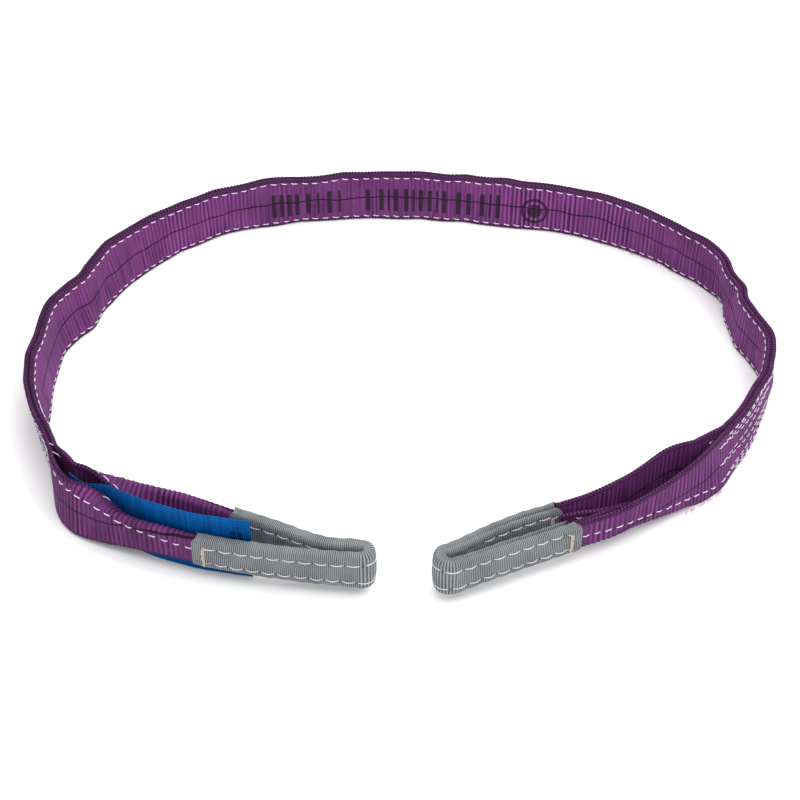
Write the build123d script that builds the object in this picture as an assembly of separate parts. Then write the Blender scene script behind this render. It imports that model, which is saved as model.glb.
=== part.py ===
"""A flat web lifting sling: two plies of polyester webbing with a folded, sleeved eye at each end.

The sling stands on its long edge in a horseshoe. Millimetres, +Z up, and the floor is at z = 0.
The origin is the middle of the footprint. The web of each half runs from the middle of the back
to the throat, out along the outer leg of the eye, round its tip, and back along the inner leg.
Everything is a ribbon: a band beside that run, standing between two heights. A positive offset
is towards the inside of the loop, and a negative one is towards the outside.
"""

from build123d import *
from dataclasses import dataclass
import math
import os

# Webbing: two plies with a hair's breadth between them
WEB_WIDTH = 30.0
PLY_NEAR = 0.05
PLY_FAR = 2.7

# Eye legs: the web is doubled lengthwise, so a leg is half as tall and two plies thick
LEG_BOTTOM = 6.5
LEG_TOP = 23.5
LEG_MIDDLE = (LEG_BOTTOM + LEG_TOP) / 2
FOLD = 2.6
FLAP_START = 18.0

# Wear sleeve round each folded eye
SLEEVE_WALL = 0.8
SLEEVE_FIT = 0.1
SLEEVE_HALF = PLY_FAR + SLEEVE_FIT + SLEEVE_WALL

# Sewing thread, laid on the faces
THREAD_HIGH = 0.9
THREAD_THICK = 0.3
THREAD_OFF = 0.05
EDGE_ROW = 4.0
SLEEVE_ROW = 3.6
ROW_CLEAR = 1.0
ROWS_APART = 0.1
TACK_LONG = 1.8
TACK_INSET = 1.0
TIP_CLEAR_OUTSIDE = 1.0
TIP_CLEAR_INSIDE = 24.0

# Splice: rows that zigzag across the web and join the plies before the throat
SPLICE_LONG = 34.0
SPLICE_EDGE = 1.5
SPLICE_LEGS = 4
SPLICE_CLEAR = 6.0
SPLICE_CORNER = 1.0

# Label: two leaves sewn in at the throat
LEAF = 0.5
LEAF_NEAR = 0.1
LABEL_TOP = 36.0
LABEL_SPLAY = 26.0
LABEL_OFFSET = 1.0
LABEL_START = 3.0
LABEL_ROW_START = 1.0
LEAF_SHORTER = 4.0
LEAF_LOWER = 2.0
LABEL_RUN = [(16, -13), (20, 3), (29, 10), (33, 9)]

# Gaps between hinged segments, on each side of the cut
BEND_GAP = 0.3
ROOT_GAP = 0.3
KNEE_GAP = 0.9
TIP_GAP = 0.2

# How far a cutting shape reaches past what it cuts
CUT_PAST = 2.0

# Middle of the back, from the origin
BACK = (-3.2, 159.25)

# Each half of the web as tangent arcs from the middle of the back: (length, turn inwards)
LEFT_RUN = [
    (84, 13), (35, 21), (91, 38), (15, -8), (56, 24), (56, 24), (30, -12),  # side
    (25, 40), (12, 6), (78, 22), (59, 7),  # throat and outer leg
    (11, 164),  # tip
    (10, 18), (16, -24), (109, 11), (18, 11), (10, -65),  # inner leg
]
RIGHT_RUN = [
    (51, 13), (24, -3), (112, 39), (29, 32.5), (47, -7.5), (49, 38), (22, 3.5),
    (83, 32.5), (21, -4), (9, 11.5), (83, -1),
    (15, 178),
    (10, -8), (54, 15), (59, -19), (22, 41), (10, -51),
]


class Run:
    """A chain of tangent arcs. side is 1 where inwards is to the left, and -1 where it is right."""

    def __init__(self, start, heading, pieces, side):
        self.side = side
        self.pieces = pieces
        self.stations = [(0.0, start[0], start[1], heading)]
        for length, turn in pieces:
            self.stations.append(self.step(self.stations[-1], length, turn))

    def step(self, station, length, turn):
        """The station that an arc of this length and turn leads to: (along, x, y, heading)."""
        along, x, y, heading = station
        half = math.radians(self.side * turn) / 2
        chord = length * math.sin(half) / half if half else length
        angle = math.radians(heading) + half
        x += chord * math.cos(angle)
        y += chord * math.sin(angle)
        return (along + length, x, y, heading + self.side * turn)

    def at(self, along):
        """The station at a length along the run."""
        for station, (length, turn) in zip(self.stations, self.pieces):
            if along <= station[0] + length:
                break
        part = along - station[0]
        return self.step(station, part, turn * part / length)

    def beside(self, along, offset):
        """The plan point at a length along the run and an offset inwards."""
        _, x, y, heading = self.at(along)
        angle = math.radians(heading + 90 * self.side)
        return (x + offset * math.cos(angle), y + offset * math.sin(angle))

    def edge(self, start, end, offset):
        """The offset line between two lengths, as arcs."""
        inner = [station[0] for station in self.stations if start < station[0] < end]
        cuts = [start] + inner + [end]
        arcs = []
        for a, b in zip(cuts, cuts[1:]):
            points = [self.beside(along, offset) for along in (a, (a + b) / 2, b)]
            arcs.append(ThreePointArc(*points))
        return arcs


@dataclass
class Half:
    """One half of the sling: its run, and the lengths along it where it bends, parts and hinges."""

    side: str
    run: Run
    bend: float  # joint between the back and the free end
    throat: float  # where the plies part
    root: float  # joint at the root of the outer leg
    outer_knee: float
    tip: float
    inner_knee: float
    stub: float  # end of the inner leg that stays with the body
    stub_gap: float
    knee_offset: float  # distance of both knee axes from the line through throat and tip
    fold_up: bool


def ribbon(run, start, end, near, far, bottom, top):
    """A band between two offsets and two heights, for a stretch of a run."""
    ends = [Line(run.beside(along, near), run.beside(along, far)) for along in (start, end)]
    outline = Wire(run.edge(start, end, near) + run.edge(start, end, far) + ends)
    return Pos(0, 0, bottom) * extrude(make_face(outline), amount=top - bottom, dir=(0, 0, 1))


def panel(run, along, outline, reach):
    """A prism through the web. The outline's points are (length from a station, height)."""
    _, x, y, heading = run.at(along)
    angle = math.radians(heading)
    tangent = (math.cos(angle), math.sin(angle), 0)
    sideways = (tangent[1], -tangent[0], 0)
    across = Plane(origin=(x, y, 0), x_dir=tangent, z_dir=sideways)
    return extrude(across * make_face(Polyline(*outline, close=True)), amount=reach, both=True)


def thread(run, start, end, face, bottom, top):
    """Thread on a web face, as a thin block. face is the offset of the web's face."""
    out = math.copysign(1, face)
    near = face + out * THREAD_OFF
    return ribbon(run, start, end, near, near + out * THREAD_THICK, bottom, top)


def rows(run, start, end, faces, heights):
    """Level rows of stitching on some faces at some heights."""
    half = THREAD_HIGH / 2
    return [thread(run, start, end, face, z - half, z + half) for face in faces for z in heights]


def save(name, *shapes):
    """Write one node as its solids."""
    solids = [solid for shape in shapes for solid in shape.solids()]
    node = solids[0] if len(solids) == 1 else Compound(children=solids)
    export_step(node, f"parts/{name}.step")


# ---- Body ----

BODY_FACES = (-PLY_FAR, PLY_FAR)
BODY_ROWS = (EDGE_ROW, WEB_WIDTH - EDGE_ROW)


def crown(halves):
    """The back of the horseshoe, from one side bend to the other."""
    seams = []
    for half in halves:
        end = half.bend - BEND_GAP
        outer = ribbon(half.run, 0, end, -PLY_FAR, -PLY_NEAR, 0, WEB_WIDTH)
        inner = ribbon(half.run, 0, end, PLY_NEAR, PLY_FAR, 0, WEB_WIDTH)
        save(f"crown_{half.side}_outer_ply", outer)
        save(f"crown_{half.side}_inner_ply", inner)
        seams += rows(half.run, ROWS_APART, end, BODY_FACES, BODY_ROWS)
    save("crown_edge_seams", *seams)


def span(half):
    """The free end of the body, from its side bend to the roots of both eye legs."""
    run, start = half.run, half.bend + BEND_GAP
    outer = ribbon(run, start, half.root - ROOT_GAP, -PLY_FAR, -PLY_NEAR, 0, WEB_WIDTH)
    inner = ribbon(run, start, half.throat, PLY_NEAR, PLY_FAR, 0, WEB_WIDTH)
    stub = ribbon(run, half.stub, run.stations[-1][0], -PLY_FAR, -PLY_NEAR, 0, WEB_WIDTH)
    save(f"{half.side}_span_outer_ply", outer)
    save(f"{half.side}_span_inner_ply", inner + stub)
    edge_rows = rows(run, start, half.throat - ROW_CLEAR, BODY_FACES, BODY_ROWS)
    save(f"{half.side}_edge_seams", *edge_rows)
    save(f"{half.side}_splice_seams", *splice(half))


def splice(half):
    """A zigzag of rows with its points towards the eye, sewn through both plies."""
    run, end = half.run, half.throat - SPLICE_CLEAR
    middle = end - SPLICE_LONG / 2
    thick = THREAD_HIGH / 2
    step = (WEB_WIDTH - 2 * EDGE_ROW - 2 * SPLICE_EDGE) / SPLICE_LEGS
    pieces = []
    for face in BODY_FACES:
        layer = thread(run, end - SPLICE_LONG, end, face, 0, WEB_WIDTH)
        for k in range(SPLICE_LEGS):
            top = WEB_WIDTH - EDGE_ROW - SPLICE_EDGE - k * step - SPLICE_CORNER
            bottom = top - step + 2 * SPLICE_CORNER
            front, back = (top, bottom) if k % 2 == 0 else (bottom, top)
            a, b = -SPLICE_LONG / 2 + SPLICE_CORNER, SPLICE_LONG / 2 - SPLICE_CORNER
            outline = [(a, back - thick), (b, front - thick), (b, front + thick), (a, back + thick)]
            pieces.append(layer & panel(run, middle, outline, SPLICE_LONG / 2))
    return pieces


# ---- Eyes ----


def folded(run, start, end, flap, fold_up, bottom, top):
    """Web doubled lengthwise: the outside leaf, the flap behind it, and the fold joining them."""
    leaf = ribbon(run, start, end, -PLY_FAR, -PLY_NEAR, bottom, top)
    back = ribbon(run, *flap, PLY_NEAR, PLY_FAR, LEG_BOTTOM, LEG_TOP)
    fold_bottom = LEG_TOP - FOLD if fold_up else LEG_BOTTOM
    fold = ribbon(run, *flap, -PLY_NEAR, PLY_NEAR, fold_bottom, fold_bottom + FOLD)
    return leaf + back + fold


def leg_root(name, run, root, knee, fold_up):
    """The bare part of a leg, which narrows from the full web at the root to the folded knee."""
    start, end = sorted((root, knee))
    flap = sorted((root + math.copysign(FLAP_START, knee - root), knee))
    leg = folded(run, start, end, flap, fold_up, 0, WEB_WIDTH)
    reach = (end - start) / 2 + CUT_PAST
    full, narrow = (0, WEB_WIDTH), (LEG_BOTTOM, LEG_TOP)
    first, last = (full, narrow) if root < knee else (narrow, full)
    outline = [(-reach, first[0]), (reach, last[0]), (reach, last[1]), (-reach, first[1])]
    save(f"{name}_web", leg & panel(run, (start + end) / 2, outline, reach))
    save(f"{name}_seam", *rows(run, start, end, (-PLY_FAR,), (LEG_MIDDLE,)))


def leg_tip(name, run, knee, tip, fold_up):
    """The sleeved part of a leg, from the knee to the middle of the tip."""
    start, end = sorted((knee, tip))
    ahead = math.copysign(1, tip - knee)
    save(f"{name}_web", folded(run, start, end, (start, end), fold_up, LEG_BOTTOM, LEG_TOP))
    low, high = LEG_BOTTOM - SLEEVE_FIT, LEG_TOP + SLEEVE_FIT
    inside = PLY_FAR + SLEEVE_FIT
    shell = ribbon(run, start, end, -SLEEVE_HALF, SLEEVE_HALF, low - SLEEVE_WALL, high + SLEEVE_WALL)
    hollow = ribbon(run, start - CUT_PAST, end + CUT_PAST, -inside, inside, low, high)
    save(f"{name}_sleeve", shell - hollow)
    sewn = []
    for face, clear in ((-SLEEVE_HALF, TIP_CLEAR_OUTSIDE), (SLEEVE_HALF, TIP_CLEAR_INSIDE)):
        stretch = sorted((knee, tip - ahead * clear))
        sewn += rows(run, *stretch, (face,), (low + SLEEVE_ROW, high - SLEEVE_ROW))
    tack = sorted((knee + ahead * TACK_INSET, knee + ahead * (TACK_INSET + TACK_LONG)))
    over_rows = -SLEEVE_HALF - THREAD_OFF - THREAD_THICK
    sewn.append(thread(run, *tack, over_rows, low + TACK_INSET, high - TACK_INSET))
    save(f"{name}_sleeve_seams", *sewn)


def eye(half):
    """The four hinged segments of an eye."""
    side, run, up = half.side, half.run, half.fold_up
    leg_root(f"{side}_outer_root", run, half.root + ROOT_GAP, half.outer_knee - KNEE_GAP, up)
    leg_tip(f"{side}_outer_tip", run, half.outer_knee + KNEE_GAP, half.tip - TIP_GAP, up)
    leg_tip(f"{side}_inner_tip", run, half.inner_knee - KNEE_GAP, half.tip + TIP_GAP, up)
    leg_root(f"{side}_inner_root", run, half.stub - half.stub_gap, half.inner_knee + KNEE_GAP, up)


def hinges(half):
    """Print the axes of a half. Throat, knees and tip are the corners of a rhombus."""
    run = half.run
    throat = run.beside(half.root, -PLY_FAR)
    tip = run.beside(half.tip, -SLEEVE_HALF)
    dx, dy = (tip[0] - throat[0]) / 2, (tip[1] - throat[1]) / 2
    wide = half.knee_offset * run.side / math.hypot(dx, dy)
    axes = {
        "bend": run.beside(half.bend, -PLY_FAR),
        "throat": throat,
        "outer_knee": (throat[0] + dx + dy * wide, throat[1] + dy - dx * wide),
        "tip": tip,
        "inner_knee": (throat[0] + dx - dy * wide, throat[1] + dy + dx * wide),
    }
    for name, point in axes.items():
        print(half.side, name, "axis at", round(point[0], 2), round(point[1], 2))


# ---- Label ----


def label(half):
    """Two leaves that stand along the inside of the outer leg, and the row that holds them."""
    start = half.root + LABEL_START
    heading = half.run.at(start)[3] + LABEL_SPLAY
    run = Run(half.run.beside(start, LABEL_OFFSET), heading, LABEL_RUN, half.run.side)
    long = run.stations[-1][0]
    face = LEAF_NEAR + LEAF
    save("label_front", ribbon(run, 0, long, -face, -LEAF_NEAR, 0, LABEL_TOP))
    back_top = LABEL_TOP - LEAF_LOWER
    save("label_back", ribbon(run, 0, long - LEAF_SHORTER, LEAF_NEAR, face, 0, back_top))
    row = (LABEL_ROW_START, LABEL_ROW_START + TACK_LONG)
    save("label_seam", thread(run, *row, -face, LEAF_LOWER, back_top))
    print("label axis at", *(round(value, 2) for value in run.beside(0, 0)))


def main():
    os.makedirs("parts", exist_ok=True)
    left = Half(
        side="left",
        run=Run(BACK, 180.0, LEFT_RUN, 1),
        bend=236,
        throat=372,
        root=386,
        outer_knee=467,
        tip=546.5,
        inner_knee=625.5,
        stub=696,
        stub_gap=3.6,
        knee_offset=9.0,
        fold_up=True,
    )
    right = Half(
        side="right",
        run=Run(BACK, 0.0, RIGHT_RUN, -1),
        bend=226,
        throat=374,
        root=384,
        outer_knee=461,
        tip=537.5,
        inner_knee=614,
        stub=686,
        stub_gap=2.6,
        knee_offset=5.0,
        fold_up=False,
    )
    crown((left, right))
    for half in (left, right):
        span(half)
        eye(half)
        hinges(half)
    label(left)


main()
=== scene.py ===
"""Looks of the flat web sling: woven web, folded eyes in ribbed sleeves, sewing thread and label.

Lengths here are millimetres until a mesh is made. "along" runs from the middle of the back towards
an eye, "inward" is towards the inside of the horseshoe, and "up" is the height over the floor.
"""

import math

import bpy
import numpy as np
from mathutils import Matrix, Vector


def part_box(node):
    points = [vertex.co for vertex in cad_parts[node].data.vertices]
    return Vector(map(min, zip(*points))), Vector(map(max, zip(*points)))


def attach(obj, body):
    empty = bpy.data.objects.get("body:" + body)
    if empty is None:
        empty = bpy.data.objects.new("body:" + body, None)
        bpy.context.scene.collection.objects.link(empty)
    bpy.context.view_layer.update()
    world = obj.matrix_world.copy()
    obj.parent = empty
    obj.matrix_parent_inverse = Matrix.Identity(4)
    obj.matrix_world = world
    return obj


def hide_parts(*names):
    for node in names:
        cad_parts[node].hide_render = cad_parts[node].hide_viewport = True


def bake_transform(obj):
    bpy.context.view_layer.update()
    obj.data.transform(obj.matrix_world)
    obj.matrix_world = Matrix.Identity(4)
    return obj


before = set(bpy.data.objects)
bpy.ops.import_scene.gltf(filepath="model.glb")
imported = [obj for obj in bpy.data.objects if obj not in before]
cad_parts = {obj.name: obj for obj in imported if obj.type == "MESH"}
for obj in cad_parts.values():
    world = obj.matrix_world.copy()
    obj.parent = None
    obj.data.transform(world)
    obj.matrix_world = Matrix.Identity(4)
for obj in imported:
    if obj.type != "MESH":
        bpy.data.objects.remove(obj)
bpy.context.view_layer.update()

MM = 0.001


def high(node):
    """Highest corner of a CAD node, in mm."""
    return [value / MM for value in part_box(node)[1]]


def low(node):
    """Lowest corner of a CAD node, in mm."""
    return [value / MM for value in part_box(node)[0]]


# Web
WIDTH = high("crown_left_outer_ply")[2]
THICK = 2.65
PLY = 1.375  # from the middle of the two plies to the middle of each
SEAM = 2.4  # edge rows, from the edge
RIB = 2.65  # pitch of the cross ribs
DASH = 6.1  # pitch of the edge stitches
DASH_SEWN = 4.3  # length of one on the face
BEND_R = 1.42  # radius of the lengthwise fold
STEP = 0.55  # between the rings of a web's mesh
STIFF_FROM = 340.0  # from here on the web is too stiff to crumple
CALM_FROM = 430.0  # from here on the folded web runs even

# Thread
THREAD_R = 0.26
SPLICE_THREAD_R = 0.19
SLEEVE_THREAD_R = 0.24
TACK_THREAD_R = 0.2
FIBRE_R = 0.07
SPLICE_DASH = 5.6  # pitch of the splice's stitches

# Sleeve
SLEEVE_LOW = low("left_outer_tip_sleeve")[2]
SLEEVE_HIGH = high("left_outer_tip_sleeve")[2]
SLEEVE_MIDDLE = (SLEEVE_LOW + SLEEVE_HIGH) / 2
SLEEVE_TALL = (SLEEVE_HIGH - SLEEVE_LOW) / 2  # half its height
SLEEVE_HALF = 3.55  # half its width
SLEEVE_STEP = 0.28
SLEEVE_RIB = 0.95
SLEEVE_PITCH = 7.6
SLEEVE_POWER = 4.0  # of its outline, a rounded box
INNER_MOUTH = 5.5  # from the inner knee to the inner mouth
LEG_IN_SLEEVE = 8.5  # how far the outer leg's web goes into it
MOUTH_DEPTH = 9.0
# (share of the half height, start of its stitches) of each sewn row
SLEEVE_ROWS = [
    ((SLEEVE_LOW + 4.3 - SLEEVE_MIDDLE) / SLEEVE_TALL, 0.0),
    ((SLEEVE_HIGH - 4.5 - SLEEVE_MIDDLE) / SLEEVE_TALL, 2.4),
]

# Seeds of what is random about a web's or a sleeve's surface
OUTER_SEED = 21
INNER_SEED = 33
SLEEVE_SEEDS = {"left": 51, "right": 52}

# Blends over a hinge: how far they reach before it and after it, and their height
BEND_SOFT = (26, 26)
FOLD_SOFT = (14, 14)
KNEE_SOFT = (12, 4)
MID_HEIGHT = 15.0

# The run of each half, as in the CAD: (length, turn inwards in degrees)
BACK = (-3.2, high("crown_left_outer_ply")[1] - 2.7)
LEFT_RUN = [
    (84, 13), (35, 21), (91, 38), (15, -8), (56, 24), (56, 24), (30, -12),
    (25, 40), (12, 6), (78, 22), (59, 7), (11, 164),
    (10, 18), (16, -24), (109, 11), (18, 11), (10, -65),
]
RIGHT_RUN = [
    (51, 13), (24, -3), (112, 39), (29, 32.5), (47, -7.5), (49, 38), (22, 3.5),
    (83, 32.5), (21, -4), (9, 11.5), (83, -1), (15, 178),
    (10, -8), (54, 15), (59, -19), (22, 41), (10, -51),
]


# ---- Small maths ----


def table(knots, at):
    """Smooth values at some places, from (place, value) pairs."""
    xs, ys = np.array(knots, float).T
    fine = np.linspace(xs[0], xs[-1], 400)
    rough = np.interp(fine, xs, ys)
    kernel = np.hanning(31)
    padded = np.pad(rough, 15, mode="edge")
    return np.interp(at, fine, np.convolve(padded, kernel / kernel.sum(), mode="valid"))


def wander(at, period, seed):
    """A smooth random line between -1 and 1."""
    at = np.asarray(at, float) / period
    base = np.floor(at).astype(int)
    values = np.random.default_rng(seed).uniform(-1, 1, 4096)
    a, b = values[(base + 2048) % 4096], values[(base + 2049) % 4096]
    part = at - base
    part = part * part * (3 - 2 * part)
    return a + (b - a) * part


def bump(at, middle, wide):
    """A bell of height 1."""
    return np.exp(-(((np.asarray(at, float) - middle) / wide) ** 2))


# ---- Runs ----


class Run:
    """A chain of tangent arcs, sampled at any length along it."""

    def __init__(self, start, heading, pieces, side):
        self.side = side
        lengths = np.array([piece[0] for piece in pieces], float)
        turns = np.radians([side * piece[1] for piece in pieces])
        self.begin = np.concatenate([[0], np.cumsum(lengths)[:-1]])
        self.curve = turns / lengths
        self.heading = math.radians(heading) + np.concatenate([[0], np.cumsum(turns)[:-1]])
        self.x, self.y = [start[0]], [start[1]]
        for k, length in enumerate(lengths[:-1]):
            x, y, _ = self._arc(k, length)
            self.x.append(float(x))
            self.y.append(float(y))
        self.x, self.y = np.array(self.x), np.array(self.y)

    def _arc(self, k, part):
        """Place and heading at a part of piece k."""
        half = self.curve[k] * part / 2
        chord = part * np.sinc(half / np.pi)
        angle = self.heading[k] + half
        x = np.asarray(self.x)[k] + chord * np.cos(angle)
        y = np.asarray(self.y)[k] + chord * np.sin(angle)
        return x, y, self.heading[k] + 2 * half

    def at(self, along):
        """Place and heading at lengths along the run."""
        along = np.asarray(along, float)
        k = np.clip(np.searchsorted(self.begin, along, side="right") - 1, 0, len(self.curve) - 1)
        return self._arc(k, along - self.begin[k])

    def line(self, along, inward):
        """Plan points beside the run."""
        x, y, heading = self.at(along)
        turned = heading + self.side * math.pi / 2
        return np.stack([x + inward * np.cos(turned), y + inward * np.sin(turned)], 1)


class Strand:
    """A smooth line through plan points. along starts at first."""

    def __init__(self, points, first, side):
        self.side = side
        steps = np.hypot(*np.diff(points, axis=0).T)
        rough = np.concatenate([[0], np.cumsum(steps)])
        fine = np.arange(0, rough[-1], 0.5)
        x, y = (np.interp(fine, rough, points[:, k]) for k in (0, 1))
        heading = np.unwrap(np.arctan2(np.gradient(y), np.gradient(x)))
        kernel = np.hanning(17)
        heading = np.convolve(np.pad(heading, 8, mode="edge"), kernel / kernel.sum(), "valid")
        self.along = first + fine
        self.heading = heading
        self.x = x[0] + np.concatenate([[0], np.cumsum(np.cos(heading[:-1])) * 0.5])
        self.y = y[0] + np.concatenate([[0], np.cumsum(np.sin(heading[:-1])) * 0.5])

    def at(self, along):
        """Place and heading at lengths along the strand."""
        return tuple(np.interp(along, self.along, v) for v in (self.x, self.y, self.heading))


def place(run, along, inward, up):
    """Points in metres. along, inward and up are arrays that fit each other."""
    x, y, heading = run.at(along)
    turned = heading + run.side * math.pi / 2
    x, y = x + inward * np.cos(turned), y + inward * np.sin(turned)
    return np.stack(np.broadcast_arrays(x, y, up), -1) * MM


# ---- Meshes ----


def linked(name, data):
    """A new object in the scene."""
    obj = bpy.data.objects.new(name, data)
    bpy.context.scene.collection.objects.link(obj)
    return obj


def mesh_object(name, points, faces, material, uvs=None, flat=(), values=None):
    """A smooth object from points and faces, with a UV map for its faces and values at its points."""
    mesh = bpy.data.meshes.new(name)
    mesh.from_pydata(points.tolist(), [], faces)
    smooth = np.ones(len(faces), bool)
    smooth[list(flat)] = False
    mesh.polygons.foreach_set("use_smooth", smooth)
    if uvs is not None:
        layer = mesh.uv_layers.new(name="Cloth")
        layer.data.foreach_set("uv", np.asarray(uvs, np.float32).ravel())
    for key, column in (values or {}).items():
        attribute = mesh.attributes.new(key, "FLOAT", "POINT")
        attribute.data.foreach_set("value", np.asarray(column, np.float32).ravel())
    mesh.materials.append(material)
    return linked(name, mesh)


def tube_mesh(name, rings, u, v, material, values=None):
    """A closed skin through rings of points. u is the map's length at each ring, v across."""
    n, m = rings.shape[:2]
    index = np.arange(n * m).reshape(n, m)
    a, b = index[:-1], index[1:]
    c, d = np.roll(b, -1, axis=1), np.roll(a, -1, axis=1)
    quads = np.stack([a, b, c, d], -1).reshape(-1, 4)
    ends = [index[0].tolist(), index[-1].tolist()[::-1]]
    along, across = u[:, None], np.asarray(v, float)[None]
    corners = [(along[:-1], across[:, :-1]), (along[1:], across[:, :-1]),
               (along[1:], across[:, 1:]), (along[:-1], across[:, 1:])]
    if turns_left(rings):
        quads, corners = quads[:, ::-1], corners[::-1]
        ends = [end[::-1] for end in ends]
    uvs = np.stack([np.stack(np.broadcast_arrays(*corner), -1) for corner in corners], 2).reshape(-1, 2)
    faces = quads.tolist() + ends
    caps = [(u[0], 0.0)] * m + [(u[-1], 0.0)] * m
    uvs = np.concatenate([uvs, np.array(caps)])
    flat = (len(faces) - 2, len(faces) - 1)
    return mesh_object(name, rings.reshape(-1, 3), faces, material, uvs, flat, values)


def turns_left(rings):
    """True where rings of points go round counter-clockwise, seen against their sweep."""
    k = len(rings) // 2
    ring = rings[k]
    area = np.cross(ring, np.roll(ring, -1, axis=0)).sum(axis=0)
    return float(area @ (rings[k + 1].mean(axis=0) - rings[k].mean(axis=0))) > 0


def thread_object(name, paths, radius, material, sides=6):
    """Short pieces of thread, each a closed tube along its own path of points in metres."""
    points, faces, start = [], [], 0
    turn = np.arange(sides)[None, :, None] * math.tau / sides
    for path in paths:
        path = np.asarray(path, float)
        tangent = np.gradient(path, axis=0)
        tangent /= np.linalg.norm(tangent, axis=1, keepdims=True)
        upright = np.abs(tangent[:, 2:]) > 0.8
        other = np.where(upright, np.array([[1.0, 0.3, 0.0]]), np.array([[0.0, 0.0, 1.0]]))
        a = np.cross(tangent, other)
        a /= np.linalg.norm(a, axis=1, keepdims=True)
        b = np.cross(tangent, a)
        size = np.full(len(path), radius * MM)
        size[[0, -1]] *= 0.45
        ring = a[:, None] * np.cos(turn) + b[:, None] * np.sin(turn)
        rings = path[:, None] + ring * size[:, None, None]
        n = len(path)
        index = start + np.arange(n * sides).reshape(n, sides)
        p, q = index[:-1], index[1:]
        quads = np.stack([p, np.roll(p, -1, 1), np.roll(q, -1, 1), q], -1).reshape(-1, 4)
        faces += quads.tolist()
        faces += [index[0][::-1].tolist(), index[-1].tolist()]
        points.append(rings.reshape(-1, 3))
        start += n * sides
    return mesh_object(name, np.concatenate(points), faces, material)


# ---- Webs ----

FINE = np.array([
    0, 0.08, 0.3, 0.7, 1.2, 2, 2.8, 3.4, 4, 4.6, 5.2, 6, 8, 11, 15,
    19, 22, 24, 24.8, 25.4, 26, 26.6, 27.2, 28, 28.8, 29.3, 29.7, 29.92, 30,
])
COARSE = np.array([0, 0.3, 1.2, 4, 9, 15, 21, 26, 28.8, 29.7, 30])
EVEN = np.concatenate([[0, 0.08, 0.3, 0.7], np.arange(1.4, 28.7, 0.75), [29.3, 29.7, 29.92, 30]])
EDGE_ROUND = 1.15  # radius of the selvedge
EDGE_TEETH = 1.9  # pitch of its bumps
TEETH = 0.62  # how deep they are
SELVEDGE = 1.2  # how wide the selvedge is
FLOOR_GAP = 0.02  # of the lowest points
CREASE_SLANT = 0.25  # a crease's shift along for each mm up
# (place, depth inwards, half width) of the slanting creases of each half, by the side of its run
CREASES = {
    1: [(226, 1.2, 7.0), (252, -1.0, 8.0)],
    -1: [(213, -3.0, 15.0), (253, 1.5, 7.5), (284, -2.0, 13.0)],
}


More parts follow.
